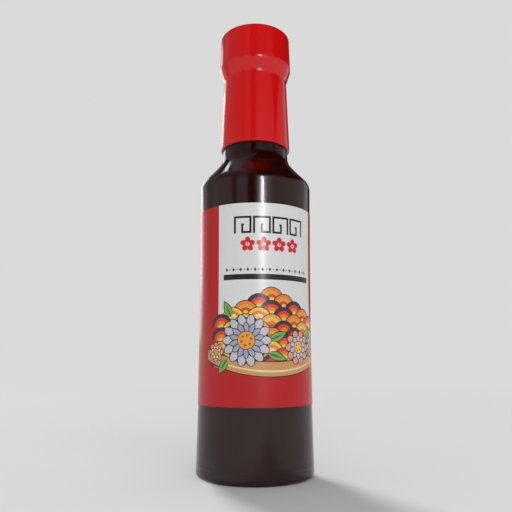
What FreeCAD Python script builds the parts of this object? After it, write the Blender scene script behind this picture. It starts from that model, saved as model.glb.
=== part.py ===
import FreeCAD, Part
import math
import os
import Sketcher

# A full, shut glass bottle of sauce that stands upright: the glass, the sauce in it, the
# label wrapped round it, and the cap, whose long skirt covers the neck.
# Every piece is turned about the Z axis. Millimetres, +Z up, and the origin in the middle
# of the foot. The front of the label faces -Y.

DRIVING_SIZES = {
    # glass, outside
    "body_radius": 29.8,
    "waist_depth": 0.9,
    "shoulder_height": 149.2,
    "shoulder_rise": 13.0,
    "neck_radius": 18.0,
    "neck_length": 71.2,
    "mouth_radius": 14.0,
    "heel_round": 2.2,
    "shoulder_round": 5.9,
    "neck_round": 11.5,
    "lip_round": 0.8,
    "stand_width": 6.6,
    "punt_depth": 2.2,
    # glass, inside
    "glass_wall": 2.8,
    "floor_thickness": 5.0,
    "cavity_heel_round": 5.0,
    "cavity_shoulder_round": 3.1,
    "headspace": 14.0,
    # label
    "label_foot": 35.0,
    "label_drop": 16.2,
    "label_thickness": 0.2,
    # cap
    "cap_clearance": 0.2,
    "rim_gap": 3.1,
    "rim_wall": 1.25,
    "skirt_wall": 2.0,
    "step_height": 7.4,
    "head_overhang": 2.4,
    "head_taper": 0.6,
    "head_height": 19.0,
    "crown_thickness": 3.0,
    "crown_round": 0.9,
    "head_round": 1.6,
    "step_round": 1.6,
    "rim_round": 0.7,
}

SHEET = "Sizes"
ORIGIN_POINT = (-1, 1)
FLOOR_LINE = -1
AXIS_LINE = -2
START, END = 1, 2
OUT_OF_SECTION = FreeCAD.Vector(0, 0, 1)
PICK_TOLERANCE = 1e-4


class Formula:
    """A length worked out from the driving sizes: its sheet expression and its value."""

    def __init__(self, expression, value):
        self.expression = expression
        self.value = value

    def joined(self, sign, other, value):
        return Formula(f"({self.expression} {sign} {other.expression})", value)

    def __add__(self, other):
        return self.joined("+", other, self.value + other.value)

    def __sub__(self, other):
        return self.joined("-", other, self.value - other.value)

    def __mul__(self, other):
        return self.joined("*", other, self.value * other.value)

    def __truediv__(self, other):
        return self.joined("/", other, self.value / other.value)

    def half(self):
        return self / Formula("2", 2)

    def squared(self):
        return self * self

    def root(self):
        return Formula(f"sqrt({self.expression})", math.sqrt(self.value))


def size(name):
    """One driving size."""
    return Formula(f"{SHEET}.{name}", DRIVING_SIZES[name])


def half_lean_tangent(width, rise):
    """The tangent of half the angle from upright of a line that goes in by width over rise."""
    expression = f"tan(atan({width.expression} / {rise.expression}) / 2)"
    return Formula(expression, math.tan(math.atan(width.value / rise.value) / 2))


def bow_radius(height, depth):
    """The radius of the arc over a chord of this height whose middle is in by depth."""
    return (height.half().squared() + depth.squared()) / (depth + depth)


NONE = Formula("0", 0)
BODY_RADIUS = size("body_radius")
NECK_RADIUS = size("neck_radius")
MOUTH_RADIUS = size("mouth_radius")
WAIST_DEPTH = size("waist_depth")
WALL = size("glass_wall")
CLEARANCE = size("cap_clearance")

SHOULDER_HEIGHT = size("shoulder_height")
NECK_HEIGHT = SHOULDER_HEIGHT + size("shoulder_rise")
MOUTH_HEIGHT = NECK_HEIGHT + size("neck_length")
HALF_LEAN = half_lean_tangent(BODY_RADIUS - NECK_RADIUS, size("shoulder_rise"))

WAIST_BOW = bow_radius(SHOULDER_HEIGHT, WAIST_DEPTH)
WAIST_HEIGHT = SHOULDER_HEIGHT.half()

RIM_HEIGHT = NECK_HEIGHT + size("neck_round") * HALF_LEAN + size("rim_gap")
CEILING_HEIGHT = MOUTH_HEIGHT + CLEARANCE
CROWN_HEIGHT = CEILING_HEIGHT + size("crown_thickness")
HEAD_HEIGHT = CROWN_HEIGHT - size("head_height")
STEP_HEIGHT = HEAD_HEIGHT - size("step_height")


def side_radius(height, thickness):
    """The radius of the waisted side at a height, with a layer of some thickness on it."""
    bow = WAIST_BOW - thickness
    reach = (bow.squared() - (height - WAIST_HEIGHT).squared()).root()
    return BODY_RADIUS - WAIST_DEPTH + WAIST_BOW - reach


def bore_radius(height):
    """The radius of the cap's bore, which clears the narrowing neck all the way up."""
    narrowing = (NECK_RADIUS - MOUTH_RADIUS) / size("neck_length")
    return NECK_RADIUS - narrowing * (height - NECK_HEIGHT) + CLEARANCE


def size_sheet(doc):
    """The sheet with a row for each driving size: its name and its value."""
    sheet = doc.addObject("Spreadsheet::Sheet", SHEET)
    for row, (name, value) in enumerate(DRIVING_SIZES.items(), start=1):
        sheet.set(f"A{row}", name)
        sheet.set(f"B{row}", str(value))
        sheet.setAlias(f"B{row}", name)
    doc.recompute()


def origin_plane(body, role):
    """A body's own origin plane, found by its role."""
    for feature in body.Origin.OriginFeatures:
        if feature.Role == role:
            return feature
    raise LookupError(role)


def bind(sketch, name, formula, *constraint):
    """Adds a constraint whose value is a formula, under a name of its own."""
    index = sketch.addConstraint(Sketcher.Constraint(*constraint, formula.value))
    sketch.renameConstraint(index, name)
    sketch.setExpression(f"Constraints.{name}", formula.expression)


def hold_corner(sketch, edge, name, corner):
    """Ties the start of an edge of the section to its radius and its height."""
    radius, height = corner
    if radius is NONE:
        sketch.addConstraint(Sketcher.Constraint("PointOnObject", edge, START, AXIS_LINE))
    else:
        bind(sketch, f"{name}_radius", radius, "DistanceX", *ORIGIN_POINT, edge, START)
    if height is NONE:
        sketch.addConstraint(Sketcher.Constraint("PointOnObject", edge, START, FLOOR_LINE))
    else:
        bind(sketch, f"{name}_height", height, "DistanceY", *ORIGIN_POINT, edge, START)


def bowed_edge(start, end, radius):
    """An arc that goes counter-clockwise from start to end: down, and bowed to the axis."""
    chord = end - start
    reach = math.sqrt(radius**2 - (chord.Length / 2) ** 2)
    outward = FreeCAD.Vector(-chord.y, chord.x, 0).normalize()
    centre = (start + end) / 2 + outward * reach
    angles = [math.atan2(point.y - centre.y, point.x - centre.x) for point in (start, end)]
    circle = Part.Circle(centre, OUT_OF_SECTION, radius)
    return Part.ArcOfCircle(circle, angles[0] % math.tau, angles[1] % math.tau)


def half_section(body, corners, bows):
    """A closed half section on the XZ plane, through named corners of (radius, height).

    The corners run from the top down the outside. An edge is straight unless bows gives the
    radius of the arc that starts at its corner.
    """
    sketch = body.newObject("Sketcher::SketchObject", f"{body.Name}_section")
    sketch.AttachmentSupport = [(origin_plane(body, "XZ_Plane"), "")]
    sketch.MapMode = "FlatFace"
    names = list(corners)
    points = [FreeCAD.Vector(r.value, z.value, 0) for r, z in corners.values()]
    following = [(place + 1) % len(names) for place in range(len(names))]
    for place, name in enumerate(names):
        start, end = points[place], points[following[place]]
        if name in bows:
            edge = bowed_edge(start, end, bows[name].value)
        else:
            edge = Part.LineSegment(start, end)
        sketch.addGeometry(edge, False)
    for place in range(len(names)):
        joint = ("Coincident", place, END, following[place], START)
        sketch.addConstraint(Sketcher.Constraint(*joint))
    for place, name in enumerate(names):
        hold_corner(sketch, place, name, corners[name])
        if name in bows:
            bind(sketch, f"{name}_bow", bows[name], "Radius", place)
    return sketch


def ring_edge(shape, corner):
    """The name of the round edge that a corner of the section has swept."""
    for number, edge in enumerate(shape.Edges, start=1):
        if not isinstance(edge.Curve, Part.Circle):
            continue
        off_radius = abs(edge.Curve.Radius - corner.x)
        off_height = abs(edge.Curve.Center.z - corner.y)
        if max(off_radius, off_height) < PICK_TOLERANCE:
            return f"Edge{number}"
    raise LookupError(f"no round edge at {corner}")


def turned_body(doc, label, corners, rounds, bows):
    """A body turned about Z from its half section, with some of its corners rounded."""
    body = doc.addObject("PartDesign::Body", label)
    body.Label = label
    sketch = half_section(body, corners, bows)
    solid = body.newObject("PartDesign::Revolution", f"{label}_turned")
    solid.Profile = sketch
    solid.ReferenceAxis = (sketch, ["V_Axis"])
    solid.Angle = 360
    doc.recompute()
    names = list(corners)
    for name, radius in rounds.items():
        corner = sketch.getPoint(names.index(name), START)
        rounded = body.newObject("PartDesign::Fillet", f"{label}_{name}_round")
        rounded.Base = (solid, [ring_edge(solid.Shape, corner)])
        rounded.setExpression("Radius", radius.expression)
        doc.recompute()
        solid = rounded
    return body


def bottle_blank(doc):
    """The outside of the glass, as if it were solid."""
    corners = {
        "mouth_centre": (NONE, MOUTH_HEIGHT),
        "lip": (MOUTH_RADIUS, MOUTH_HEIGHT),
        "neck": (NECK_RADIUS, NECK_HEIGHT),
        "shoulder": (BODY_RADIUS, SHOULDER_HEIGHT),
        "heel": (BODY_RADIUS, NONE),
        "foot_centre": (NONE, NONE),
    }
    rounds = {name: size(f"{name}_round") for name in ("lip", "neck", "shoulder", "heel")}
    return turned_body(doc, "bottle_blank", corners, rounds, {"shoulder": WAIST_BOW})


def bottle_cavity(doc):
    """The inside of the glass, from its floor to the mouth.

    A wall of even thickness lowers the corners of the shoulder and of the neck.
    """
    floor = size("floor_thickness")
    inner_radius = BODY_RADIUS - WALL
    corner_drop = WALL * HALF_LEAN
    shoulder = SHOULDER_HEIGHT - corner_drop
    corners = {
        "mouth_centre": (NONE, MOUTH_HEIGHT),
        "mouth": (MOUTH_RADIUS - WALL, MOUTH_HEIGHT),
        "neck": (NECK_RADIUS - WALL, NECK_HEIGHT - corner_drop),
        "shoulder": (inner_radius, shoulder),
        "heel": (inner_radius, floor),
        "floor_centre": (NONE, floor),
    }
    rounds = {
        "neck": size("neck_round") + WALL,
        "shoulder": size("cavity_shoulder_round"),
        "heel": size("cavity_heel_round"),
    }
    bows = {"shoulder": bow_radius(shoulder - floor, WAIST_DEPTH)}
    return turned_body(doc, "bottle_cavity", corners, rounds, bows)


def punt(doc):
    """The ball whose cap hollows the foot, so that the bottle stands on a ring."""
    depth = size("punt_depth")
    width = BODY_RADIUS - size("heel_round") - size("stand_width")
    radius = (width.squared() + depth.squared()) / (depth + depth)
    ball = doc.addObject("Part::Sphere", "punt")
    ball.setExpression("Radius", radius.expression)
    ball.setExpression(".Placement.Base.z", (depth - radius).expression)
    return ball


def glass_bottle(doc, blank, cavity):
    """The glass: its outside less its cavity and the hollow under its foot."""
    hollows = doc.addObject("Part::MultiFuse", "hollows")
    hollows.Shapes = [cavity, punt(doc)]
    glass = doc.addObject("Part::Cut", "glass_bottle")
    glass.Label = "glass_bottle"
    glass.Base = blank
    glass.Tool = hollows
    return glass


def sauce_filling(doc, cavity):
    """The sauce: all of the cavity up to the filling height."""
    reach = doc.addObject("Part::Cylinder", "filling_reach")
    reach.setExpression("Radius", BODY_RADIUS.expression)
    reach.setExpression("Height", (MOUTH_HEIGHT - size("headspace")).expression)
    sauce = doc.addObject("Part::Common", "sauce_filling")
    sauce.Label = "sauce_filling"
    sauce.Base = cavity
    sauce.Tool = reach
    return sauce


def label_wrap(doc, blank):
    """The label: a thin sleeve that lies on the waisted side of the body."""
    foot = size("label_foot")
    top = SHOULDER_HEIGHT - size("label_drop")
    thickness = size("label_thickness")
    corners = {
        "top_centre": (NONE, top),
        "top_edge": (side_radius(top, thickness), top),
        "foot_edge": (side_radius(foot, thickness), foot),
        "foot_centre": (NONE, foot),
    }
    bows = {"top_edge": WAIST_BOW - thickness}
    sleeve = doc.addObject("Part::Cut", "label_wrap")
    sleeve.Label = "label_wrap"
    sleeve.Base = turned_body(doc, "label_blank", corners, {}, bows)
    sleeve.Tool = blank
    return sleeve


def red_cap(doc):
    """The cap: a wide head that steps in to a long skirt, which flares down to its rim."""
    step_radius = bore_radius(STEP_HEIGHT) + size("skirt_wall")
    head_radius = step_radius + size("head_overhang")
    corners = {
        "crown_centre": (NONE, CROWN_HEIGHT),
        "crown": (head_radius - size("head_taper"), CROWN_HEIGHT),
        "head": (head_radius, HEAD_HEIGHT),
        "step": (step_radius, STEP_HEIGHT),
        "rim": (bore_radius(RIM_HEIGHT) + size("rim_wall"), RIM_HEIGHT),
        "rim_inside": (bore_radius(RIM_HEIGHT), RIM_HEIGHT),
        "ceiling_edge": (bore_radius(CEILING_HEIGHT), CEILING_HEIGHT),
        "ceiling_centre": (NONE, CEILING_HEIGHT),
    }
    rounds = {name: size(f"{name}_round") for name in ("crown", "head", "step", "rim")}
    return turned_body(doc, "red_cap", corners, rounds, {})


def check(doc, pieces):
    """Stops on any failed object and on a piece that isn't one valid solid."""
    for thing in doc.Objects:
        if {"Invalid", "Error"} & set(thing.State):
            raise RuntimeError(f"{thing.Name} failed: {thing.State}")
    for piece in pieces:
        shape = piece.Shape
        if shape.isNull() or not shape.isValid() or len(shape.Solids) != 1:
            raise RuntimeError(f"{piece.Label} isn't one valid solid")


def export(pieces):
    """Writes each piece to its own STEP file and prints its size."""
    os.makedirs("parts", exist_ok=True)
    for piece in pieces:
        piece.Shape.exportStep(f"parts/{piece.Label}.step")
        box = piece.Shape.optimalBoundingBox()
        print(f"{piece.Label}: {box.XLength:.2f} x {box.YLength:.2f} x {box.ZLength:.2f} mm")
        print(f"    from {box.ZMin:.2f} mm up, {piece.Shape.Volume / 1000:.2f} cm3")


def main():
    """Builds the document, checks it and writes the pieces."""
    doc = FreeCAD.newDocument("sauce_bottle")
    size_sheet(doc)
    blank = bottle_blank(doc)
    cavity = bottle_cavity(doc)
    pieces = [
        glass_bottle(doc, blank, cavity),
        sauce_filling(doc, cavity),
        label_wrap(doc, blank),
        red_cap(doc),
    ]
    doc.recompute()
    check(doc, pieces)
    export(pieces)


main()
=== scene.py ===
"""Looks of a full glass sauce bottle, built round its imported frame.

The bottle is brown glass with a gently waisted side. It is full of dark sauce,
wears a printed paper label all the way round and is shut by a tall red cap.
Sizes are in millimetres until a mesh is made, and a mesh is in metres.
"""

import logging
import math
import random
from dataclasses import dataclass, field
from enum import Enum
from typing import Iterable, Sequence

import bpy
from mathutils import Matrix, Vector
from mathutils.geometry import delaunay_2d_cdt


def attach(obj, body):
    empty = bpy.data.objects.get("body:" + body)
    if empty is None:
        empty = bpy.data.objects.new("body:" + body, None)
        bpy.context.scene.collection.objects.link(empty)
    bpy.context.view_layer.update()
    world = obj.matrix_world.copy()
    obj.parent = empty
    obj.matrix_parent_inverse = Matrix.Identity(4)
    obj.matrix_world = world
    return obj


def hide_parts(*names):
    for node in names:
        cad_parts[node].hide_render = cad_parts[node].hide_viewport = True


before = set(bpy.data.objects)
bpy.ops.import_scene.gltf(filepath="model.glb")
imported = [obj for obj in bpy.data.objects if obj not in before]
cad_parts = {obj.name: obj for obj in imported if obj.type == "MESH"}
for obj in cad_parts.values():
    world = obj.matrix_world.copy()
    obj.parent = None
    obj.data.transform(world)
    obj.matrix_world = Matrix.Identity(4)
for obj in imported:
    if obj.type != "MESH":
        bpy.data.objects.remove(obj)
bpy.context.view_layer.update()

LOG = logging.getLogger("sauce_bottle")

MM = 0.001
ROOT = "root"

# Nearly all of a noise texture lies between these two values.
NOISE_LOW = 0.3
NOISE_HIGH = 0.7

# A length in millimetres under which a point counts as on the axis.
ON_AXIS = 1e-6

Point = tuple[float, float]
Colour = tuple[float, float, float]


# ---------------------------------------------------------------- node sheets


class Painter:
    """A material's node tree, with short ways to add and join nodes."""

    def __init__(self, name: str) -> None:
        """Starts an empty material with one Principled shader.

        Args:
            name: The material's name.
        """
        self.material = bpy.data.materials.new(name)
        self.material.use_nodes = True
        self.tree = self.material.node_tree
        self.tree.nodes.clear()
        self.output = self.tree.nodes.new("ShaderNodeOutputMaterial")
        self.shader = self.tree.nodes.new("ShaderNodeBsdfPrincipled")
        self.join(self.shader, "BSDF", self.output, "Surface")
        self.place = self.tree.nodes.new("ShaderNodeTexCoord")

    def join(self, source: bpy.types.Node, out: str, target: bpy.types.Node, into: str) -> None:
        """Links one node's output to another's input.

        Args:
            source: The node that gives the value.
            out: The name of its output.
            target: The node that takes it.
            into: The name of its input.
        """
        self.tree.links.new(source.outputs[out], target.inputs[into])

    def set(self, **sockets: float | Sequence[float]) -> None:
        """Sets the shader's own sockets, named with underscores for spaces."""
        fill(self.shader, sockets)

    def add(self, kind: str, **sockets: float | Sequence[float]) -> bpy.types.Node:
        """Adds a node with some of its sockets set.

        Args:
            kind: The node's type, without the words that all types start with.
            **sockets: Socket names with underscores for spaces, and their values.

        Returns:
            The node.
        """
        node = self.tree.nodes.new(f"ShaderNode{kind}")
        fill(node, sockets)
        return node

    def noise(
        self, grain: float, detail: float = 3.0, stretch: Sequence[float] = (1, 1, 1)
    ) -> bpy.types.Node:
        """Adds noise laid out in the piece's own space.

        Args:
            grain: The rough size of one blotch, in millimetres.
            detail: How many finer layers it has.
            stretch: How much finer it is along each axis.

        Returns:
            The noise node.
        """
        mapping = self.add("Mapping", Scale=stretch)
        self.join(self.place, "Object", mapping, "Vector")
        noise = self.add("TexNoise", Scale=1.0 / (grain * MM), Detail=detail)
        self.join(mapping, "Vector", noise, "Vector")
        return noise

    def spread(self, noise: bpy.types.Node, low: float, high: float) -> bpy.types.Node:
        """Turns noise into a number between two ends.

        Args:
            noise: The noise node.
            low: The number where the noise is lowest.
            high: The number where it is highest.

        Returns:
            The node whose Result is that number.
        """
        span = self.add("MapRange", From_Min=NOISE_LOW, From_Max=NOISE_HIGH, To_Min=low, To_Max=high)
        self.join(noise, "Fac", span, "Value")
        return span

    def blotch(self, noise: bpy.types.Node, one: Colour, other: Colour) -> None:
        """Colours the shader with a soft drift between two colours.

        Args:
            noise: The noise that says where each colour is.
            one: The colour where the noise is low.
            other: The colour where it is high.
        """
        ramp = self.add("ValToRGB")
        ends = ((NOISE_LOW, one), (NOISE_HIGH, other))
        for element, (position, colour) in zip(ramp.color_ramp.elements, ends):
            element.position = position
            element.color = (*colour, 1.0)
        self.join(noise, "Fac", ramp, "Fac")
        self.join(ramp, "Color", self.shader, "Base Color")

    def bump(self, noise: bpy.types.Node, strength: float, depth: float) -> None:
        """Raises the surface a little with noise.

        Args:
            noise: The height of the surface.
            strength: How much of it shows.
            depth: Its height in millimetres.
        """
        bump = self.add("Bump", Strength=strength, Distance=depth * MM)
        self.join(noise, "Fac", bump, "Height")
        self.join(bump, "Normal", self.shader, "Normal")


def fill(node: bpy.types.Node, sockets: dict[str, float | Sequence[float]]) -> None:
    """Sets a node's input sockets, named with underscores for spaces."""
    for name, value in sockets.items():
        node.inputs[name.replace("_", " ")].default_value = value


def choose(
    tree: bpy.types.NodeTree,
    chooser: bpy.types.NodeSocket,
    other: bpy.types.Node,
    one: bpy.types.Node,
) -> bpy.types.Node:
    """Shows one shader where the chooser is 1, and the other elsewhere.

    Args:
        tree: The node tree that they are in.
        chooser: The output that chooses.
        other: The shader for 0.
        one: The shader for 1.

    Returns:
        The mix of the two.
    """
    node = tree.nodes.new("ShaderNodeMixShader")
    tree.links.new(chooser, node.inputs["Fac"])
    tree.links.new(other.outputs[0], node.inputs[1])
    tree.links.new(one.outputs[0], node.inputs[2])
    return node


def shade(colour: Colour, by: float) -> Colour:
    """The same colour made lighter or darker by a factor."""
    return tuple(min(1.0, part * by) for part in colour)


# ------------------------------------------------------------------- finishes


@dataclass(frozen=True)
class BrownGlass:
    """Brown bottle glass, smooth, with the faint waviness of a mould.

    Its tint is what passes through a wall of tint_depth millimetres. A small
    share of its colour is a haze that shows even where no light passes.
    """

    bend: float = 1.5
    tint: Colour = (0.72, 0.42, 0.32)
    tint_depth: float = 2.8
    haze: Colour = (0.54, 0.055, 0.027)
    haze_share: float = 0.02
    smoothness: tuple[float, float] = (0.10, 0.14)
    wave_grain: float = 22.0
    wave_stretch: tuple[float, float, float] = (1.0, 1.0, 0.35)
    wave_strength: float = 0.12
    wave_depth: float = 0.05

    def make(self) -> bpy.types.Material:
        """Builds the glass.

        Returns:
            The material.
        """
        painter = Painter("brown_glass")
        takes = [-math.log(part) / (self.tint_depth * MM) for part in self.tint]
        passes = tuple(1.0 - take / max(takes) for take in takes)
        body = painter.add("VolumeAbsorption", Density=max(takes), Color=(*passes, 1.0))
        painter.join(body, "Volume", painter.output, "Volume")
        painter.set(Base_Color=(*self.haze, 1.0), IOR=self.bend, Transmission_Weight=1.0 - self.haze_share)
        waves = painter.noise(self.wave_grain, detail=1.0, stretch=self.wave_stretch)
        painter.join(painter.spread(waves, *self.smoothness), "Result", painter.shader, "Roughness")
        painter.bump(waves, self.wave_strength, self.wave_depth)
        return painter.material


@dataclass(frozen=True)
class DarkSauce:
    """Nearly black brown sauce, with a little red in it where light gets in."""

    deep: Colour = (0.026, 0.007, 0.005)
    thin: Colour = (0.034, 0.009, 0.007)
    gloss: tuple[float, float] = (0.45, 0.60)
    shine: float = 0.03
    drift_grain: float = 30.0

    def make(self) -> bpy.types.Material:
        """Builds the sauce.

        Returns:
            The material.
        """
        painter = Painter("dark_sauce")
        drift = painter.noise(self.drift_grain, detail=2.0)
        painter.blotch(drift, self.deep, self.thin)
        painter.join(painter.spread(drift, *self.gloss), "Result", painter.shader, "Roughness")
        painter.set(Specular_IOR_Level=self.shine)
        return painter.material


@dataclass(frozen=True)
class MouldedPlastic:
    """Glossy moulded plastic: a fine skin, and a slight drift in colour and gloss."""

    colour: Colour = (0.635, 0.003, 0.004)
    gloss: tuple[float, float] = (0.09, 0.12)
    drift: float = 0.03
    drift_grain: float = 14.0
    drift_stretch: tuple[float, float, float] = (1.0, 1.0, 0.3)
    skin_grain: float = 0.9
    skin_strength: float = 0.2
    skin_depth: float = 0.004

    def make(self) -> bpy.types.Material:
        """Builds the plastic.

        Returns:
            The material.
        """
        painter = Painter("red_plastic")
        drift = painter.noise(self.drift_grain, detail=2.0, stretch=self.drift_stretch)
        painter.blotch(drift, shade(self.colour, 1.0 - self.drift), shade(self.colour, 1.0 + self.drift))
        painter.join(painter.spread(drift, *self.gloss), "Result", painter.shader, "Roughness")
        skin = painter.noise(self.skin_grain, detail=2.0)
        painter.bump(skin, self.skin_strength, self.skin_depth)
        return painter.material


@dataclass(frozen=True)
class CoatedPaper:
    """Satin coated label paper under one ink.

    Its roughness stays wholly under 0.27. A range that runs across about 0.274
    makes the renderer's noise filter show a false grain on the paper.
    """

    name: str
    colour: Colour
    gloss: tuple[float, float] = (0.225, 0.268)
    shine: float = 0.45
    drift: float = 0.012
    fibre_grain: float = 1.6
    skin_grain: float = 0.8
    skin_strength: float = 0.05
    skin_depth: float = 0.002

    def make(self) -> bpy.types.Material:
        """Builds the printed paper.

        Returns:
            The material.
        """
        painter = Painter(f"label_{self.name}")
        fibre = painter.noise(self.fibre_grain)
        painter.blotch(fibre, shade(self.colour, 1.0 - self.drift), shade(self.colour, 1.0 + self.drift))
        painter.join(painter.spread(fibre, *self.gloss), "Result", painter.shader, "Roughness")
        painter.set(Specular_IOR_Level=self.shine)
        skin = painter.noise(self.skin_grain, detail=2.0)
        painter.bump(skin, self.skin_strength, self.skin_depth)
        return painter.material


@dataclass(frozen=True)
class GlowingFelt:
    """Black felt on a studio card, with an even glow of its own."""

    name: str
    glow: float
    deep: Colour = (0.006, 0.006, 0.006)
    worn: Colour = (0.012, 0.012, 0.012)
    grain: float = 3.0
    roughness: float = 0.95

    def make(self) -> bpy.types.Material:
        """Builds the felt.

        Returns:
            The material.
        """
        painter = Painter(f"{self.name}_felt")
        painter.blotch(painter.noise(self.grain), self.deep, self.worn)
        painter.set(Roughness=self.roughness, Specular_IOR_Level=0.0)
        painter.set(Emission_Color=(1, 1, 1, 1), Emission_Strength=self.glow)
        return painter.material


@dataclass(frozen=True)
class PaleFloor:
    """Pale matt floor that turns into the even surround between two distances in metres."""

    surround: float
    colour: Colour = (0.572, 0.572, 0.577)
    drift: float = 0.005
    grain: float = 40.0
    roughness: float = 0.9
    shine: float = 0.1
    fade_start: float = 0.35
    fade_end: float = 1.1

    def make(self) -> bpy.types.Material:
        """Builds the floor's finish.

        Returns:
            The material.
        """
        painter = Painter("pale_floor")
        blotches = painter.noise(self.grain)
        painter.blotch(blotches, shade(self.colour, 1.0 - self.drift), shade(self.colour, 1.0 + self.drift))
        painter.set(Roughness=self.roughness, Specular_IOR_Level=self.shine)
        length = painter.add("VectorMath")
        length.operation = "LENGTH"
        painter.join(painter.place, "Object", length, "Vector")
        fade = painter.add("MapRange", From_Min=self.fade_start, From_Max=self.fade_end)
        fade.interpolation_type = "SMOOTHERSTEP"
        painter.join(length, "Value", fade, "Value")
        glow = painter.add("Emission", Color=(self.surround,) * 3 + (1.0,))
        mix = choose(painter.tree, fade.outputs["Result"], painter.shader, glow)
        painter.join(mix, "Shader", painter.output, "Surface")
        return painter.material


class Ink(Enum):
    """The label's inks, with the colour that each gives the paper."""

    RED = ("red", (0.47, 0.002, 0.004))
    PAPER = ("paper", (0.715, 0.718, 0.71))
    BLACK = ("black", (0.010, 0.010, 0.012))
    GREY = ("grey", (0.055, 0.055, 0.06))
    BRIGHT_RED = ("bright_red", (0.60, 0.014, 0.022))
    LINE = ("line", (0.020, 0.012, 0.020))
    PLUM = ("plum", (0.060, 0.030, 0.052))
    SCARLET = ("scarlet", (0.72, 0.055, 0.018))
    ORANGE = ("orange", (0.80, 0.21, 0.03))
    AMBER = ("amber", (0.74, 0.36, 0.05))
    YELLOW = ("yellow", (0.82, 0.56, 0.09))
    CREAM = ("cream", (0.80, 0.66, 0.34))
    TAN = ("tan", (0.62, 0.30, 0.12))
    PALE_PETAL = ("pale_petal", (0.52, 0.53, 0.58))
    SHADED_PETAL = ("shaded_petal", (0.36, 0.36, 0.45))
    PINK = ("pink", (0.74, 0.33, 0.24))
    LEAF = ("leaf", (0.20, 0.40, 0.08))
    DARK_LEAF = ("dark_leaf", (0.045, 0.19, 0.05))

    @property
    def place(self) -> int:
        """The ink's place among the label's materials."""
        return list(Ink).index(self)

    def finish(self) -> CoatedPaper:
        """The paper under this ink."""
        return CoatedPaper(*self.value)


# ---------------------------------------------------------------- turned work


@dataclass(frozen=True)
class Corner:
    """A corner of a turned outline.

    The outline runs with the piece on its left. A rounding is an arc across the
    corner. A bow is how far the middle of the run that starts here lies in.
    """

    radius: float
    height: float
    rounding: float = 0.0
    bow: float = 0.0


@dataclass(frozen=True)
class Span:
    """A short run of a turned outline, and how its surface faces at each end."""

    start: Vector
    start_facing: Vector
    end: Vector
    end_facing: Vector


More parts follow.
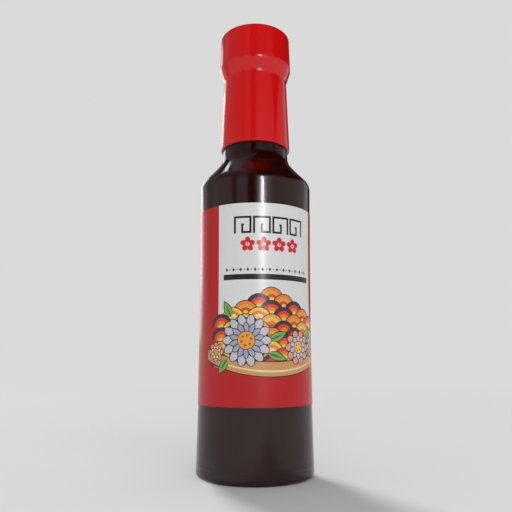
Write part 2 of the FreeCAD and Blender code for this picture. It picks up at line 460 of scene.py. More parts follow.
@dataclass
class Lathe:
    """Turns an outline about the upright axis into a smooth mesh."""

    turns: int = 192
    arc_step: float = 5.0
    bow_step: float = 6.0

    @staticmethod
    def facing(along: Vector) -> Vector:
        """The outward direction of a surface that the outline runs along."""
        return Vector((along.y, -along.x)).normalized()

    def run(self, start: Corner, end: Corner, cut_start: float, cut_end: float) -> list[Span]:
        """The spans between two corners, less what their roundings take.

        Args:
            start: The corner that the run leaves, with its bow.
            end: The corner that it reaches.
            cut_start: The length that the first rounding takes.
            cut_end: The length that the second one takes.

        Returns:
            The spans in order, none where the roundings meet.
        """
        first, last = Vector((start.radius, start.height)), Vector((end.radius, end.height))
        chord = last - first
        out = self.facing(chord)
        low, high = cut_start / chord.length, 1.0 - cut_end / chord.length
        if high - low < 1e-6:
            return []
        count = max(1, math.ceil(chord.length / self.bow_step)) if start.bow else 1
        points, facings = [], []
        for step in range(count + 1):
            at = low + (high - low) * step / count
            points.append(first + chord * at - out * (4.0 * start.bow * at * (1.0 - at)))
            facings.append(self.facing(chord - out * (4.0 * start.bow * (1.0 - 2.0 * at))))
        return [
            Span(points[i], facings[i], points[i + 1], facings[i + 1]) for i in range(count)
        ]

    def tangents(self, start: Corner, end: Corner) -> tuple[Vector, Vector]:
        """The directions in which a run leaves one corner and reaches the next.

        Args:
            start: The corner that the run leaves, with its bow.
            end: The corner that it reaches.

        Returns:
            The two directions, each of length 1.
        """
        chord = Vector((end.radius - start.radius, end.height - start.height))
        lean = self.facing(chord) * (4.0 * start.bow)
        return (chord - lean).normalized(), (chord + lean).normalized()

    def round_off(self, corner: Corner, reach: Vector, leave: Vector) -> tuple[float, list[Span]]:
        """The arc across a corner.

        Args:
            corner: The corner, with its rounding.
            reach: The direction in which the outline reaches it.
            leave: The direction in which it leaves it.

        Returns:
            The length that the arc takes of each run, and the arc's spans.
        """
        if not corner.rounding:
            return 0.0, []
        cross = reach.x * leave.y - reach.y * leave.x
        turn = math.atan2(abs(cross), reach.dot(leave))
        sign = 1.0 if cross > 0 else -1.0
        cut = corner.rounding * math.tan(turn / 2.0)
        out = self.facing(reach)
        centre = Vector((corner.radius, corner.height)) - reach * cut - out * (sign * corner.rounding)
        count = max(2, math.ceil(math.degrees(turn) / self.arc_step))
        points, facings = [], []
        for step in range(count + 1):
            angle = sign * turn * step / count
            cos, sin = math.cos(angle), math.sin(angle)
            ray = Vector((out.x * cos - out.y * sin, out.x * sin + out.y * cos))
            points.append(centre + ray * (sign * corner.rounding))
            facings.append(ray)
        spans = [Span(points[i], facings[i], points[i + 1], facings[i + 1]) for i in range(count)]
        return cut, spans

    def spans(self, corners: Sequence[Corner]) -> list[Span]:
        """All spans of an outline that starts and ends on the axis.

        Args:
            corners: The outline's corners.

        Returns:
            The spans in order.
        """
        ways = [self.tangents(a, b) for a, b in zip(corners, corners[1:])]
        arcs = [(0.0, [])]
        for place in range(1, len(corners) - 1):
            arcs.append(self.round_off(corners[place], ways[place - 1][1], ways[place][0]))
        arcs.append((0.0, []))
        found = []
        for place in range(len(corners) - 1):
            found += arcs[place][1]
            found += self.run(corners[place], corners[place + 1], arcs[place][0], arcs[place + 1][0])
        return found

    def turn(self, name: str, corners: Sequence[Corner]) -> bpy.types.Object:
        """Turns an outline into a closed piece.

        Args:
            name: The piece's name.
            corners: The outline in millimetres, from the axis round to the axis.

        Returns:
            The piece, with exact smooth shading.
        """
        spans = self.spans(corners)
        angles = [math.tau * step / self.turns for step in range(self.turns)]
        rays = [(math.cos(angle), math.sin(angle)) for angle in angles]
        vertices: list[tuple[float, float, float]] = []
        rings: list[list[int]] = []
        for point in [spans[0].start] + [span.end for span in spans]:
            circle, radius = (rays, point.x) if point.x > ON_AXIS else (rays[:1], 0.0)
            rings.append(list(range(len(vertices), len(vertices) + len(circle))))
            vertices += [(radius * x * MM, radius * y * MM, point.y * MM) for x, y in circle]
        faces: list[tuple[int, ...]] = []
        normals: list[tuple[float, float, float]] = []
        for place, span in enumerate(spans):
            low, high = rings[place], rings[place + 1]
            for here in range(self.turns):
                after = (here + 1) % self.turns
                corners_here = (
                    (low, here, span.start_facing),
                    (low, after, span.start_facing),
                    (high, after, span.end_facing),
                    (high, here, span.end_facing),
                )
                loop = [
                    (ring[ray % len(ring)], ray, way)
                    for ring, ray, way in corners_here
                    if len(ring) > 1 or ray == here
                ]
                faces.append(tuple(vertex for vertex, _, _ in loop))
                normals += [
                    (rays[ray][0] * way.x, rays[ray][1] * way.x, way.y) for _, ray, way in loop
                ]
        return solid_piece(name, vertices, faces, normals)


def solid_piece(
    name: str,
    vertices: Sequence[Sequence[float]],
    faces: Sequence[Sequence[int]],
    normals: Sequence[Sequence[float]],
) -> bpy.types.Object:
    """Makes an object from a mesh in metres with a given normal at every face corner.

    Args:
        name: The piece's name.
        vertices: The points.
        faces: The faces, as places in the list of points.
        normals: One direction for each corner of each face, in order.

    Returns:
        The linked object.
    """
    mesh = bpy.data.meshes.new(name)
    mesh.from_pydata(vertices, [], faces)
    mesh.polygons.foreach_set("use_smooth", [True] * len(mesh.polygons))
    mesh.update()
    mesh.normals_split_custom_set(normals)
    return put_out(name, mesh)


def put_out(name: str, data: bpy.types.ID) -> bpy.types.Object:
    """Makes an object of a mesh, lamp or camera and puts it in the scene.

    Args:
        name: The object's name.
        data: What it shows.

    Returns:
        The object.
    """
    thing = bpy.data.objects.new(name, data)
    bpy.context.scene.collection.objects.link(thing)
    return thing


# ----------------------------------------------------------------- the bottle


@dataclass
class GlassBottle:
    """The bottle: a waisted body, a sloping shoulder and a long narrow neck."""

    lathe: Lathe
    finish: BrownGlass = BrownGlass()
    body_radius: float = 29.8
    waist_depth: float = 0.9
    shoulder_height: float = 149.2
    neck_radius: float = 18.0
    neck_height: float = 162.2
    mouth_radius: float = 14.0
    mouth_height: float = 233.4
    wall: float = 2.8
    floor_height: float = 5.0
    punt_radius: float = 21.0
    punt_depth: float = 2.2
    punt_bow: float = 0.55
    cone_bow: float = 0.4
    stand_round: float = 0.5
    heel_round: float = 2.2
    shoulder_round: float = 5.9
    neck_round: float = 11.5
    lip_round: float = 0.8
    cavity_heel_round: float = 5.0
    cavity_shoulder_round: float = 3.1
    cavity_neck_round: float = 14.3

    def side_radius(self, height: float) -> float:
        """The radius of the waisted side at a height."""
        middle = self.shoulder_height / 2.0
        return self.body_radius - self.waist_depth * (1.0 - ((height - middle) / middle) ** 2)

    def side_slope(self, height: float) -> float:
        """How fast the side's radius grows with height."""
        middle = self.shoulder_height / 2.0
        return 2.0 * self.waist_depth * (height - middle) / middle**2

    @property
    def corner_drop(self) -> float:
        """How far an even wall lowers the inner corners of the shoulder and the neck."""
        width = self.body_radius - self.neck_radius
        return self.wall * math.tan(math.atan(width / (self.neck_height - self.shoulder_height)) / 2.0)

    def outline(self) -> list[Corner]:
        """The glass, from the middle of its foot up the outside and down the inside.

        Returns:
            The outline's corners.
        """
        inside = self.body_radius - self.wall
        neck_inside = self.neck_radius - self.wall
        drop = self.corner_drop
        return [
            Corner(0.0, self.punt_depth, bow=self.punt_bow),
            Corner(self.punt_radius, 0.0, self.stand_round),
            Corner(self.body_radius, 0.0, self.heel_round, self.waist_depth),
            Corner(self.body_radius, self.shoulder_height, self.shoulder_round, self.cone_bow),
            Corner(self.neck_radius, self.neck_height, self.neck_round),
            Corner(self.mouth_radius, self.mouth_height, self.lip_round),
            Corner(self.mouth_radius - self.wall, self.mouth_height),
            Corner(neck_inside, self.neck_height - drop, self.cavity_neck_round),
            Corner(inside, self.shoulder_height - drop, self.cavity_shoulder_round, -self.waist_depth),
            Corner(inside, self.floor_height, self.cavity_heel_round),
            Corner(0.0, self.floor_height),
        ]

    def build(self) -> bpy.types.Object:
        """Turns and dresses the glass, and puts it in the place of its frame node.

        Returns:
            The glass.
        """
        piece = self.lathe.turn("bottle_glass", self.outline())
        piece.data.materials.append(self.finish.make())
        piece.visible_shadow = False
        return settle(piece, "glass_bottle")


@dataclass
class SauceFilling:
    """The sauce, which fills the bottle and reaches just into the wall."""

    lathe: Lathe
    bottle: GlassBottle
    finish: DarkSauce = DarkSauce()
    soak: float = 0.12
    fill_height: float = 219.4
    heel_round: float = 5.1
    shoulder_round: float = 3.2
    neck_round: float = 14.2

    def outline(self) -> list[Corner]:
        """The sauce, from the middle of its foot up to its level in the neck.

        Returns:
            The outline's corners.
        """
        bottle = self.bottle
        inside = bottle.body_radius - bottle.wall + self.soak
        neck = bottle.neck_radius - bottle.wall + self.soak
        mouth = bottle.mouth_radius - bottle.wall + self.soak
        neck_foot = bottle.neck_height - bottle.corner_drop
        share = (self.fill_height - neck_foot) / (bottle.mouth_height - neck_foot)
        return [
            Corner(0.0, bottle.floor_height - self.soak),
            Corner(inside, bottle.floor_height - self.soak, self.heel_round, bottle.waist_depth),
            Corner(inside, bottle.shoulder_height - bottle.corner_drop, self.shoulder_round),
            Corner(neck, neck_foot, self.neck_round),
            Corner(neck + (mouth - neck) * share, self.fill_height),
            Corner(0.0, self.fill_height),
        ]

    def build(self) -> bpy.types.Object:
        """Turns and dresses the sauce.

        Returns:
            The sauce.
        """
        piece = self.lathe.turn("bottle_sauce", self.outline())
        piece.data.materials.append(self.finish.make())
        return settle(piece, "sauce_filling")


@dataclass
class ScrewCap:
    """The cap: a wide head that steps in to a long skirt with a flared rim."""

    lathe: Lathe
    finish: MouldedPlastic = MouldedPlastic()
    crown_radius: float = 19.303
    crown_height: float = 236.6
    head_radius: float = 19.903
    head_height: float = 217.6
    step_radius: float = 17.503
    step_height: float = 210.2
    rim_radius: float = 19.026
    rim_height: float = 169.74
    bore_foot: float = 17.776
    bore_top: float = 14.189
    ceiling: float = 233.6
    rim_round: float = 0.7
    step_round: float = 5.5
    crown_round: float = 0.9

    def outline(self) -> list[Corner]:
        """The cap, from the middle of its ceiling down the bore and up the outside.

        Returns:
            The outline's corners.
        """
        return [
            Corner(0.0, self.ceiling),
            Corner(self.bore_top, self.ceiling),
            Corner(self.bore_foot, self.rim_height),
            Corner(self.rim_radius, self.rim_height, self.rim_round),
            Corner(self.step_radius, self.step_height, self.step_round),
            Corner(self.head_radius, self.head_height, self.step_round),
            Corner(self.crown_radius, self.crown_height, self.crown_round),
            Corner(0.0, self.crown_height),
        ]

    def build(self) -> bpy.types.Object:
        """Turns and dresses the cap.

        Returns:
            The cap.
        """
        piece = self.lathe.turn("screw_cap", self.outline())
        piece.data.materials.append(self.finish.make())
        return settle(piece, "red_cap")


def settle(piece: bpy.types.Object, node: str) -> bpy.types.Object:
    """Puts a piece in the place of a frame node.

    Args:
        piece: The finished piece.
        node: The frame node that it stands for.

    Returns:
        The same piece.
    """
    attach(piece, ROOT)
    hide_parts(node)
    return piece


# ------------------------------------------------------------------ the print


@dataclass(frozen=True)
class Patch:
    """An area of one ink on the flat label. A later patch lies over an earlier one."""

    ink: Ink
    outline: tuple[Point, ...]


def anticlockwise(outline: Sequence[Point]) -> list[Point]:
    """The same outline, turned round if it runs clockwise.

    Args:
        outline: The outline's points.

    Returns:
        The points, anticlockwise.
    """
    pairs = zip(outline, list(outline[1:]) + [outline[0]])
    area = sum(a[0] * b[1] - b[0] * a[1] for a, b in pairs)
    return list(outline) if area > 0 else list(reversed(outline))


def around(centre: Point, reach: float, degrees: float) -> Point:
    """The point at a reach and a direction from a centre."""
    angle = math.radians(degrees)
    return centre[0] + reach * math.cos(angle), centre[1] + reach * math.sin(angle)


def lay(ink: Ink, edge: Sequence[Point], foot: Point, lean: float) -> Patch:
    """Turns an outline by an angle and moves it to its place.

    Args:
        ink: The ink.
        edge: The outline, drawn about its own start.
        foot: Where that start goes.
        lean: The angle in degrees.

    Returns:
        The patch.
    """
    cos, sin = math.cos(math.radians(lean)), math.sin(math.radians(lean))
    return Patch(ink, tuple((foot[0] + x * cos - y * sin, foot[1] + x * sin + y * cos) for x, y in edge))


def bar(ink: Ink, left: float, low: float, right: float, high: float) -> Patch:
    """An upright rectangle of ink."""
    return Patch(ink, ((left, low), (right, low), (right, high), (left, high)))


def oval(
    ink: Ink,
    centre: Point,
    along: float,
    across: float,
    lean: float = 0.0,
    points: int = 20,
) -> Patch:
    """An ellipse of ink.

    Args:
        ink: The ink.
        centre: Its middle.
        along: Half its length.
        across: Half its width.
        lean: The direction of its length, in degrees from the label's run.
        points: How many points its edge has.

    Returns:
        The patch.
    """
    angles = [math.tau * (step + 0.5) / points for step in range(points)]
    edge = [(along * math.cos(angle), across * math.sin(angle)) for angle in angles]
    return lay(ink, edge, centre, lean)


def fan(ink: Ink, centre: Point, radius: float, points: int = 14) -> Patch:
    """The upper half of a disc, with a short straight foot.

    Args:
        ink: The ink.
        centre: The middle of its disc.
        radius: The radius.
        points: How many steps its arc has.

    Returns:
        The patch.
    """
    return Patch(ink, tuple(around(centre, radius, 180.0 * step / points) for step in range(points + 1)))


def leaf(
    ink: Ink, foot: Point, length: float, width: float, lean: float, steps: int = 7, belly: float = 0.8
) -> Patch:
    """A pointed leaf.

    Args:
        ink: The ink.
        foot: Where it starts.
        length: Its length.
        width: Its full width.
        lean: The direction in which it points, in degrees.
        steps: How many steps each side has.
        belly: Where it is widest: at its middle for 1, nearer the foot under 1.

    Returns:
        The patch.
    """
    rise = [(step / steps, math.sin(math.pi * (step / steps) ** belly)) for step in range(steps + 1)]
    side = [(length * at, width / 2.0 * out) for at, out in rise]
    side += [(length * at, -width / 2.0 * out) for at, out in reversed(rise[1:-1])]
    return lay(ink, side, foot, lean)


@dataclass
class FretBand:
    """A row of square spirals, drawn with one even stroke."""

    ink: Ink = Ink.BLACK
    half_width: float = 19.2
    foot: float = 117.8
    height: float = 8.6
    stroke: float = 1.05
    spirals: int = 4
    parting: float = 0.7
    open_share: float = 0.6

    def patches(self) -> list[Patch]:
        """Draws the row: each spiral hangs between a foot line and a head line.

        Returns:
            The patches, from the lowest layer up.
        """
        pitch = 2.0 * self.half_width / self.spirals
        found = []
        for place in range(self.spirals):
            left = -self.half_width + pitch * place
            width = pitch - self.parting
            found += self.spiral(left + self.parting / 2.0, width, mirrored=place >= self.spirals // 2)
        return found

    def spiral(self, left: float, width: float, mirrored: bool) -> list[Patch]:
        """Draws one spiral as bars.

        Args:
            left: Where it starts.
            width: Its width.
            mirrored: True if it winds the other way.

        Returns:
            The bars.
        """
        s, low, high = self.stroke, self.foot, self.foot + self.height
        gap = (self.height - 3.0 * s) / 2.0
        boxes = [
            (0.0, low, s, high),
            (0.0, high - s, width, high),
            (width - s, low, width, high),
            (s + gap, low, width, low + s),
            (s + gap, low, 2.0 * s + gap, high - s - gap),
            (s + gap, high - 2.0 * s - gap, width - 2.0 * s - gap * self.open_share, high - s - gap),
        ]
        bars = []
        for x0, y0, x1, y1 in boxes:
            if mirrored:
                x0, x1 = width - x1, width - x0
            bars.append(bar(self.ink, left + x0, y0, left + x1, y1))
        return bars


@dataclass
class BlossomRow:
    """A row of small five-petalled blossoms."""

    ink: Ink = Ink.BRIGHT_RED
    half_width: float = 15.6
    middle: float = 112.3
    radius: float = 3.7
    count: int = 4
    petals: int = 5
    petal_reach: float = 0.58
    petal_half: tuple[float, float] = (1.62, 1.35)
    eye: float = 1.0
    pupil: float = 0.5

    def patches(self) -> list[Patch]:
        """Draws the row, each blossom with a pale eye.

        Returns:
            The patches, from the lowest layer up.
        """
        found = []
        span = 2.0 * (self.half_width - self.radius)
        for place in range(self.count):
            middle = (span * (place / (self.count - 1) - 0.5), self.middle)
            for petal in range(self.petals):
                lean = 90.0 + 360.0 * petal / self.petals
                centre = around(middle, self.radius * self.petal_reach, lean)
                found.append(oval(self.ink, centre, *self.petal_half, lean, 14))
            found.append(oval(Ink.PAPER, middle, self.eye, self.eye, points=10))
            found.append(oval(self.ink, middle, self.pupil, self.pupil, points=8))
        return found


@dataclass
class BeadLine:
    """A fine line of beads, large and small in turn."""

    ink: Ink = Ink.GREY
    half_width: float = 22.6
    middle: float = 99.9
    pitch: float = 1.75
    large: float = 0.95
    small: float = 0.45
    slimness: float = 0.8

    def patches(self) -> list[Patch]:
        """Draws the line of beads as small lozenges.

        Returns:
            The patches, from the lowest layer up.
        """
        count = int(2.0 * self.half_width / self.pitch)
        found = []
        for place in range(count + 1):
            x = -self.half_width + 2.0 * self.half_width * place / count
            r = self.large if place % 2 == 0 else self.small
            side = r * self.slimness
            ends = ((-side, 0.0), (0.0, -r), (side, 0.0), (0.0, r))
            found.append(lay(self.ink, ends, (x, self.middle), 0.0))
        return found


@dataclass
class Bloom:
    """A large flower head: rings of petals round a coloured heart."""

    centre: Point
    radius: float
    petals: int
    outer: Ink
    inner: Ink
    heart: Ink
    line: float = 0.32
    line_outside: float = 0.6
    line_inside: float = 0.5
    petal_swell: float = 1.35
    petal_fill: float = 0.93
    petal_points: int = 16
    outer_ring: tuple[float, float] = (0.45, 1.0)
    inner_ring: tuple[float, float] = (0.25, 0.68)
    back_share: float = 0.9
    heart_share: float = 0.34
    spots: int = 6
    spot_lean: float = 15.0
    spot_reach: float = 0.2
    spot_share: float = 0.06

    def ring(self, inside: float, outside: float, ink: Ink, turn: float) -> list[Patch]:
        """Draws one ring of outlined petals.

        Args:
            inside: Where the petals start.
            outside: Where they end.
            ink: Their ink.
            turn: How far the ring is turned, in petals.

        Returns:
            The patches.
        """
        half = (outside - inside) / 2.0
        width = math.pi * (inside + half * self.petal_swell) / self.petals
        wide = width + self.line * self.line_outside
        slim = width * self.petal_fill - self.line * self.line_inside
        found = []
        for place in range(self.petals):
            lean = 360.0 * (place + turn) / self.petals
            spot = around(self.centre, inside + half, lean)
            found.append(oval(Ink.LINE, spot, half + self.line, wide, lean, self.petal_points))
            found.append(oval(ink, spot, half, slim, lean, self.petal_points))
        return found

    def patches(self) -> list[Patch]:
        """Draws the flower from its back ring to its heart.

        Returns:
            The patches, from the lowest layer up.
        """
        r = self.radius
        rings = ((self.outer_ring, self.outer, 0.0), (self.inner_ring, self.inner, 0.5))
        found = [self.disc(Ink.LINE, r * self.back_share, 28)]
        for (inside, outside), ink, turn in rings:
            found += self.ring(r * inside, r * outside, ink, turn)
        heart = r * self.heart_share
        found += [self.disc(Ink.LINE, heart + self.line, 18), self.disc(self.heart, heart, 18)]
        for place in range(self.spots):
            lean = 360.0 * place / self.spots + self.spot_lean
            spot = around(self.centre, r * self.spot_reach, lean)
            found.append(oval(Ink.SCARLET, spot, r * self.spot_share, r * self.spot_share, points=8))
        return found

    def disc(self, ink: Ink, radius: float, points: int) -> Patch:
        """A disc of ink about the flower's middle."""
        return oval(ink, self.centre, radius, radius, points=points)


@dataclass
class WaveHill:
    """A hill of overlapping wave scales on a curved bank, with flowers on it.

    A leaf is given by its foot, its length and the direction in which it points.
    """

    half_width: float = 35.0
    foot: float = 57.0
    top: float = 92.4
    bank_low: float = 49.2
    bank_depth: float = 6.6
    bank_line: float = 0.45
    scale_radius: float = 6.4
    scale_bands: tuple[float, ...] = (0.93, 0.70, 0.46, 0.22)
    scale_drop: float = 0.6
    scale_inset: float = 0.8
    scales_each_side: int = 4
    bank_steps: int = 24
    bank_rise: float = 0.75
    streak_steps: int = 16
    streak_half: float = 0.8
    streak_foot: float = 1.9
    streak_curve: float = 8.0
    streak_width: float = 0.9
    leaf_line: float = 0.7
    leaf_widths: tuple[float, float, float] = (4.6, 3.8, 1.1)
    vein_share: float = 0.8
    seed: int = 11
    suits: tuple[tuple[Ink, ...], ...] = (
        (Ink.AMBER, Ink.YELLOW, Ink.ORANGE, Ink.SCARLET),
        (Ink.YELLOW, Ink.ORANGE, Ink.CREAM, Ink.AMBER),
        (Ink.SCARLET, Ink.ORANGE, Ink.YELLOW, Ink.SCARLET),
        (Ink.ORANGE, Ink.AMBER, Ink.SCARLET, Ink.YELLOW),
        (Ink.PLUM, Ink.SCARLET, Ink.ORANGE, Ink.YELLOW),
    )
    leaves: tuple[tuple[Point, float, float], ...] = (
        ((-24.0, 62.0), 9.0, 200.0),
        ((-22.0, 57.5), 8.5, 235.0),
        ((-2.0, 60.0), 10.0, -18.0),
        ((-1.0, 66.0), 9.5, 24.0),
        ((23.0, 61.0), 9.0, -8.0),
        ((22.0, 66.0), 8.0, 48.0),
        ((-20.0, 77.0), 8.5, 118.0),
    )
    blooms: tuple[Bloom, ...] = (
        Bloom((-12.5, 66.0), 12.2, 14, Ink.PALE_PETAL, Ink.SHADED_PETAL, Ink.AMBER),
        Bloom((15.5, 62.8), 8.2, 10, Ink.PINK, Ink.PALE_PETAL, Ink.YELLOW),
        Bloom((-29.0, 60.5), 4.6, 8, Ink.PINK, Ink.CREAM, Ink.AMBER),
        Bloom((28.5, 63.5), 4.6, 8, Ink.PALE_PETAL, Ink.PINK, Ink.AMBER),
    )

    def crest(self, x: float) -> float:
        """The height of the hill at a place along it."""
        return self.foot + (self.top - self.foot) * math.sqrt(max(0.0, 1.0 - (x / self.half_width) ** 2))

    def scales(self) -> list[Patch]:
        """Draws the scales from the top row down, each over the row above it.

        Returns:
            The patches, from the lowest layer up.
        """
        chance = random.Random(self.seed)
        r = self.scale_radius
        rows = int((self.top - self.foot) / (r / 2.0))
        found = []
        for row in range(rows, -1, -1):
            y = self.foot + row * r / 2.0 - r * self.scale_drop
            shift = r if row % 2 else 0.0
            for column in range(-self.scales_each_side, self.scales_each_side + 1):
                x = column * 2.0 * r + shift
                if y + r > self.crest(x) or abs(x) + r * self.scale_inset > self.half_width:
                    continue
                suit = self.suits[chance.randrange(len(self.suits))]
                found.append(fan(Ink.LINE, (x, y), r))
                for ink, size in zip(suit, self.scale_bands):
                    found.append(fan(ink, (x, y), r * size))
        return found

    def bank(self) -> list[Patch]:
        """Draws the curved bank under the hill, with its outline and a pale streak.

        Returns:
            The patches, from the lowest layer up.
        """
        found = []
        for ink, grow in ((Ink.LINE, self.bank_line), (Ink.TAN, 0.0)):
            upper, lower = [], []
            for step in range(self.bank_steps + 1):
                at = -1.0 + 2.0 * step / self.bank_steps
                x = at * (self.half_width + grow)
                lift = (self.foot - self.bank_low) * at * at
                upper.append((x, self.bank_low + lift * self.bank_rise + self.bank_depth + grow))
                lower.append((x, self.bank_low + lift - grow))
            found.append(Patch(ink, tuple(lower + upper[::-1])))
        streak = []
        for step in range(self.streak_steps + 1):
            at = -self.streak_half + 2.0 * self.streak_half * step / self.streak_steps
            height = self.bank_low + self.streak_curve * at * at + self.streak_foot
            streak.append((at * self.half_width, height))
        back = [
            (x, y + self.streak_width * (1.0 - (x / self.half_width) ** 2))
            for x, y in reversed(streak[1:-1])
        ]
        found.append(Patch(Ink.CREAM, tuple(streak + back)))
        return found

    def flowers(self) -> list[Patch]:
        """Draws leaves first and the flowers over them.

        Returns:
            The patches, from the lowest layer up.
        """
        found = []
        edge, blade, vein = self.leaf_widths
        for foot, length, lean in self.leaves:
            found.append(leaf(Ink.LINE, foot, length + self.leaf_line, edge, lean))
            found.append(leaf(Ink.LEAF, foot, length, blade, lean))
            found.append(leaf(Ink.DARK_LEAF, foot, length * self.vein_share, vein, lean))
        for bloom in self.blooms:
            found += bloom.patches()
        return found

    def patches(self) -> list[Patch]:
        """Draws the whole hill."""
        return self.scales() + self.bank() + self.flowers()


@dataclass
class LabelPrint:
    """Everything printed on the flat label: a pale panel, a rule and ornaments on red."""

    panel_half: float = 27.6
    panel_foot: float = 60.0
    rule_half: float = 24.5
    rule_low: float = 95.0
    rule_high: float = 97.7
    fret: FretBand = field(default_factory=FretBand)
    blossoms: BlossomRow = field(default_factory=BlossomRow)
    beads: BeadLine = field(default_factory=BeadLine)
    hill: WaveHill = field(default_factory=WaveHill)

    def patches(self, top: float) -> list[Patch]:
        """Draws the print.

        Args:
            top: The height of the label's upper edge.

        Returns:
            The patches, from the lowest layer up.
        """
        found = [bar(Ink.PAPER, -self.panel_half, self.panel_foot, self.panel_half, top)]
        found += self.fret.patches() + self.blossoms.patches() + self.beads.patches()
        found.append(bar(Ink.BLACK, -self.rule_half, self.rule_low, self.rule_half, self.rule_high))
        return found + self.hill.patches()


# ------------------------------------------------------------------ the label


@dataclass
class PaperLabel:
    """The label: printed flat, then wrapped round the waisted side with a lapped seam.

    The upper layer of the seam stands off from lap_start. It keeps its full
    rise for a while and is down again lap_reach degrees further on.
    """

    bottle: GlassBottle
    artwork: LabelPrint = field(default_factory=LabelPrint)
    foot: float = 35.0
    top: float = 133.0
    thickness: float = 0.2
    wrap_radius: float = 29.4
    columns: int = 120
    rows: int = 12
    lap_start: float = 166.0
    lap_reach: float = 26.0
    lap_fade: float = 12.0
    lap_edge: float = 0.1
    lap_cut: float = 0.08
    lap_rise: float = 0.09
    stand_off: float = 0.02
    cut_tolerance: float = 1e-4
    weld_tolerance: float = 1e-3

    def flatten(self) -> tuple[list[Point], list[list[int]], list[Ink]]:
        """Cuts the flat label into triangles of one ink each.

        Returns:
            The points, the triangles and each triangle's ink.
        """
        half = math.pi * self.wrap_radius
        layers = [bar(Ink.RED, -half, self.foot, half, self.top)]
        layers += self.artwork.patches(self.top)
        points: list[Vector] = []
        outlines: list[list[int]] = []
        for layer in layers:
            outlines.append(list(range(len(points), len(points) + len(layer.outline))))
            points += [Vector(p) for p in anticlockwise(layer.outline)]
        cuts: list[tuple[int, int]] = []
        marks = [half * (2.0 * step / self.columns - 1.0) for step in range(1, self.columns)]
        lap = self.across(self.lap_start)
        marks += [lap, lap + self.lap_cut]
        ends = [((x, self.foot), (x, self.top)) for x in marks]
        for step in range(1, self.rows):
            y = self.foot + (self.top - self.foot) * step / self.rows
            ends.append(((-half, y), (half, y)))
        for start, end in ends:
            cuts.append((len(points), len(points) + 1))
            points += [Vector(start), Vector(end)]
        found = delaunay_2d_cdt(points, cuts, outlines, 0, self.cut_tolerance, True)
        flat, _, faces, _, _, owners = found
        inks = [layers[max(owner)].ink if owner else Ink.RED for owner in owners]
        return [(p.x, p.y) for p in flat], [list(face) for face in faces], inks

    def across(self, degrees: float) -> float:
        """The length along the flat label of an angle round the bottle."""
        return math.radians(degrees) * self.wrap_radius

    def lift(self, degrees: float) -> float:
        """How far the lapped end of the label stands off the layer under it.

        Args:
            degrees: The angle round the bottle from the front.

        Returns:
            The distance in millimetres.
        """
        past = (degrees - self.lap_start) % 360.0
        fade = min(1.0, max(0.0, (self.lap_reach - past) / self.lap_fade))
        return self.lap_rise * min(1.0, past / self.lap_edge) * fade

    def wrap(self, point: Point, off: float) -> tuple[float, float, float]:
        """A point of the flat label in its place on the bottle, in metres.

        Args:
            point: The point on the flat label.
            off: How far it lies off the glass.

        Returns:
            The point in space.
        """
        angle = point[0] / self.wrap_radius
        radius = (self.bottle.side_radius(point[1]) + off) * MM
        return radius * math.sin(angle), -radius * math.cos(angle), point[1] * MM

    def facing(self, point: Point) -> tuple[float, float, float]:
        """The outward direction of the wrapped label at a point of the flat one.

        Args:
            point: The point on the flat label.

        Returns:
            The direction, of length 1.
        """
        angle = point[0] / self.wrap_radius
        way = Vector((math.sin(angle), -math.cos(angle), -self.bottle.side_slope(point[1])))
        return tuple(way.normalized())

    def build(self) -> bpy.types.Object:
        """Prints, wraps and dresses the label.

        Returns:
            The label, a closed sleeve.
        """
        flat, triangles, inks = self.flatten()
        half = math.pi * self.wrap_radius
        home: dict[tuple[float, float], int] = {}
        same: list[int] = []
        spots: list[Point] = []
        for x, y in flat:
            key = (round(-half if x > half - self.weld_tolerance else x, 3), round(y, 3))
            if key not in home:
                home[key] = len(spots)
                spots.append((x, y))
            same.append(home[key])
        outer = [
            self.wrap(p, self.thickness + self.lift(math.degrees(p[0] / self.wrap_radius))) for p in spots
        ]
        inner = [self.wrap(p, self.stand_off) for p in spots]
        faces, slots, normals = [], [], []
        rims: dict[tuple[int, int], None] = {}
        for face, ink in zip(triangles, inks):
            ring = [same[corner] for corner in face]
            if len(set(ring)) < 3:
                continue
            faces.append(ring)
            slots.append(ink.place)
            normals += [self.facing(flat[corner]) for corner in face]
            faces.append([corner + len(spots) for corner in reversed(ring)])
            slots.append(Ink.PAPER.place)
            normals += [tuple(-part for part in self.facing(flat[corner])) for corner in reversed(face)]
            for start, end in zip(ring, ring[1:] + ring[:1]):
                if (end, start) in rims:
                    del rims[(end, start)]
                else:
                    rims[(start, end)] = None
        for start, end in rims:
            faces.append([end, start, start + len(spots), end + len(spots)])
            slots.append(Ink.PAPER.place)
            up = 1.0 if spots[start][1] > (self.foot + self.top) / 2.0 else -1.0
            normals += [(0.0, 0.0, up)] * 4
        piece = solid_piece("wrap_label", outer + inner, faces, normals)
        for ink in Ink:
            piece.data.materials.append(ink.finish().make())
        piece.data.polygons.foreach_set("material_index", slots)
        LOG.info("label print: %d faces, %d rim faces", len(faces), len(rims))
        return settle(piece, "label_wrap")


# ----------------------------------------------------------------- the studio


@dataclass(frozen=True)
class Panel:
    """A lamp or a card that faces the bottle, and only shows in shiny things.

    Its bearing is measured from the camera's side of the bottle, to the right,
    and its rise is above the level.
    """

    name: str
    bearing: float
    rise: float
    distance: float
    width: float
    height: float
    glow: float


@dataclass(frozen=True)
class FarLamp:
    """A lamp so far off that it lights matt things evenly. Its level is that on the floor."""

    name: str
    bearing: float
    rise: float
    softness: float
    level: float


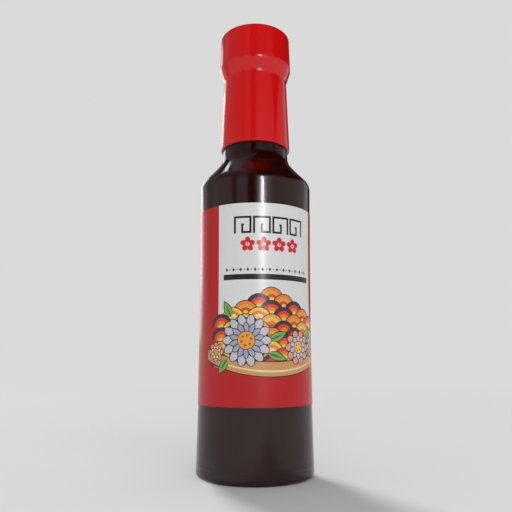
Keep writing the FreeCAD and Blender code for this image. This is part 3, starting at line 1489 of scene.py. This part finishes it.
@dataclass
class Studio:
    """A pale floor that fades into a pale surround, a camera, lamps and cards.

    The surround is even to the eye. In gloss it darkens from the level up, as
    steps of a rise and a brightness. The floor's reach is in metres.
    """

    turn: float = 16.0
    camera_distance: float = 296.3
    camera_height: float = 58.9
    camera_pitch: float = 10.075
    camera_yaw: float = -0.093
    focal: float = 39.375
    sensor_width: float = 36.0
    nearest_seen: float = 0.01
    aim_height: float = 115.0
    surround: float = 0.70
    sky: float = 0.55
    ceiling: tuple[tuple[float, float], ...] = (
        (0.0, 0.68),
        (8.0, 0.60),
        (16.0, 0.52),
        (28.0, 0.31),
        (34.0, 0.13),
        (40.0, 0.01),
    )
    floor_reach: float = 30.0
    floor_sides: int = 64
    far_lamps: tuple[FarLamp, ...] = (
        FarLamp("key_lamp", 203.0, 45.0, 14.0, 0.53),
        FarLamp("fill_lamp", 15.0, 25.0, 70.0, 0.145),
    )
    lamps: tuple[Panel, ...] = (
        Panel("rim_lamp", 211.0, 18.0, 1500.0, 580.0, 640.0, 2.2),
        Panel("rim_top_lamp", 214.0, 32.3, 1500.0, 560.0, 150.0, 1.3),
        Panel("rim_foot_lamp", 211.0, 3.0, 1500.0, 580.0, 160.0, 1.2),
        Panel("spot_lamp", 211.5, 51.4, 850.0, 65.0, 65.0, 4.4),
        Panel("right_lamp", 130.0, 21.0, 1500.0, 300.0, 680.0, 0.3),
        Panel("strip_lamp", 14.8, 12.3, 1300.0, 120.0, 240.0, 31.0),
        Panel("strip_halo", 15.0, 11.0, 1310.0, 330.0, 320.0, 2.0),
        Panel("side_lamp", 19.0, 14.0, 1320.0, 600.0, 640.0, 0.5),
    )
    cards: tuple[Panel, ...] = (
        Panel("front_card", -6.5, 30.0, 900.0, 250.0, 900.0, 0.02),
        Panel("left_card", -42.0, 30.0, 900.0, 160.0, 900.0, 0.17),
        Panel("far_left_card", -106.0, 25.0, 900.0, 285.0, 800.0, 0.32),
        Panel("back_card", 162.0, 22.0, 900.0, 600.0, 655.0, 0.04),
        Panel("right_card", 115.0, 48.0, 900.0, 1500.0, 400.0, 0.0),
        Panel("ceiling_card", 290.0, 56.0, 900.0, 1500.0, 900.0, 0.24),
        Panel("top_card", 212.0, 68.0, 900.0, 420.0, 300.0, 0.26),
    )

    def towards(self, bearing: float, rise: float) -> Vector:
        """The direction from the bottle of a bearing and a rise."""
        way, up = math.radians(bearing - self.turn), math.radians(rise)
        return Vector((math.sin(way) * math.cos(up), -math.cos(way) * math.cos(up), math.sin(up)))

    def spot(self, panel: Panel) -> tuple[Vector, Vector]:
        """Where a panel stands, and the direction in which it faces.

        Args:
            panel: The panel.

        Returns:
            Its place in metres, and its direction.
        """
        way = self.towards(panel.bearing, panel.rise)
        aim = Vector((0.0, 0.0, self.aim_height * MM))
        return aim + way * (panel.distance * MM), -way

    def camera(self) -> None:
        """Sets up the camera."""
        data = bpy.data.cameras.new("camera")
        data.sensor_width = self.sensor_width
        data.lens = self.focal
        data.clip_start = self.nearest_seen
        camera = put_out("camera", data)
        way = math.radians(self.turn)
        camera.location = (
            -self.camera_distance * MM * math.sin(way),
            -self.camera_distance * MM * math.cos(way),
            self.camera_height * MM,
        )
        camera.rotation_euler = (
            math.radians(90.0 + self.camera_pitch),
            0.0,
            -way + math.radians(self.camera_yaw),
        )
        bpy.context.scene.camera = camera

    def lamp(self, panel: Panel) -> None:
        """Hangs a soft lamp.

        Args:
            panel: Its place, size and glow.
        """
        data = bpy.data.lights.new(panel.name, "AREA")
        data.shape = "RECTANGLE"
        data.size, data.size_y = panel.width * MM, panel.height * MM
        data.energy = panel.glow * math.pi * data.size * data.size_y
        lamp = put_out(panel.name, data)
        place, way = self.spot(panel)
        lamp.location = place
        lamp.rotation_euler = way.to_track_quat("-Z", "Y").to_euler()
        lamp.visible_camera = lamp.visible_diffuse = lamp.visible_transmission = False

    def far_lamp(self, lamp: FarLamp) -> None:
        """Hangs a lamp that lights the floor at an even level.

        Args:
            lamp: Its direction, softness and level.
        """
        data = bpy.data.lights.new(lamp.name, "SUN")
        data.angle = math.radians(lamp.softness)
        data.energy = lamp.level * math.pi / math.sin(math.radians(lamp.rise))
        hung = put_out(lamp.name, data)
        way = -self.towards(lamp.bearing, lamp.rise)
        hung.rotation_euler = way.to_track_quat("-Z", "Y").to_euler()
        hung.visible_glossy = hung.visible_transmission = False

    def card(self, panel: Panel) -> None:
        """Stands up a card of felt.

        Args:
            panel: Its place, size and brightness.
        """
        x, y = panel.width * MM / 2.0, panel.height * MM / 2.0
        mesh = bpy.data.meshes.new(panel.name)
        mesh.from_pydata([(-x, -y, 0), (x, -y, 0), (x, y, 0), (-x, y, 0)], [], [(0, 1, 2, 3)])
        mesh.materials.append(GlowingFelt(panel.name, panel.glow).make())
        card = put_out(panel.name, mesh)
        place, way = self.spot(panel)
        card.location = place
        card.rotation_euler = way.to_track_quat("-Z", "Y").to_euler()
        card.visible_camera = card.visible_diffuse = card.visible_shadow = False
        card.visible_transmission = False

    def floor(self) -> None:
        """Lays the floor, which turns into the surround further out."""
        mesh = bpy.data.meshes.new("floor")
        corners = range(self.floor_sides)
        edge = [around((0.0, 0.0), self.floor_reach, 360.0 * i / self.floor_sides) for i in corners]
        mesh.from_pydata([(x, y, 0.0) for x, y in edge], [], [tuple(corners)])
        mesh.materials.append(PaleFloor(self.surround).make())
        put_out("floor", mesh)

    @staticmethod
    def ground(tree: bpy.types.NodeTree, level: float) -> bpy.types.Node:
        """Makes an even background.

        Args:
            tree: The world's node tree.
            level: Its brightness.

        Returns:
            The background.
        """
        node = tree.nodes.new("ShaderNodeBackground")
        node.inputs["Color"].default_value = (level, level, level, 1.0)
        return node

    def world(self) -> None:
        """Makes the surround, with its own level for the eye, for gloss and for matt things."""
        world = bpy.data.worlds.new("surround")
        world.use_nodes = True
        tree = world.node_tree
        tree.nodes.clear()
        place = tree.nodes.new("ShaderNodeTexCoord")
        split = tree.nodes.new("ShaderNodeSeparateXYZ")
        tree.links.new(place.outputs["Generated"], split.inputs["Vector"])
        ramp = tree.nodes.new("ShaderNodeValToRGB")
        tree.links.new(split.outputs["Z"], ramp.inputs["Fac"])
        steps = ramp.color_ramp.elements
        while len(steps) < len(self.ceiling):
            steps.new(1.0)
        for step, (rise, level) in zip(steps, self.ceiling):
            step.position = math.sin(math.radians(rise))
            step.color = (level, level, level, 1.0)
        glossy = self.ground(tree, 1.0)
        tree.links.new(ramp.outputs["Color"], glossy.inputs["Color"])
        path = tree.nodes.new("ShaderNodeLightPath")
        shiny = tree.nodes.new("ShaderNodeMath")
        shiny.operation = "MAXIMUM"
        tree.links.new(path.outputs["Is Glossy Ray"], shiny.inputs[0])
        tree.links.new(path.outputs["Is Transmission Ray"], shiny.inputs[1])
        sky, surround = self.ground(tree, self.sky), self.ground(tree, self.surround)
        seen = choose(tree, path.outputs["Is Camera Ray"], sky, surround)
        output = tree.nodes.new("ShaderNodeOutputWorld")
        whole = choose(tree, shiny.outputs["Value"], seen, glossy)
        tree.links.new(whole.outputs["Shader"], output.inputs["Surface"])
        bpy.context.scene.world = world

    def build(self) -> None:
        """Builds the whole studio."""
        self.camera()
        self.floor()
        self.world()
        for far_lamp in self.far_lamps:
            self.far_lamp(far_lamp)
        for panel in self.lamps:
            self.lamp(panel)
        for panel in self.cards:
            self.card(panel)
        bpy.context.scene.view_settings.view_transform = "Standard"


def main() -> None:
    """Builds every piece and the studio."""
    logging.basicConfig(level=logging.INFO, format="%(message)s")
    lathe = Lathe()
    bottle = GlassBottle(lathe)
    builders = (bottle, SauceFilling(lathe, bottle), PaperLabel(bottle), ScrewCap(lathe))
    for builder in builders:
        piece = builder.build()
        LOG.info("%s: %d faces", piece.name, len(piece.data.polygons))
    Studio().build()


if __name__ == "__main__":
    main()
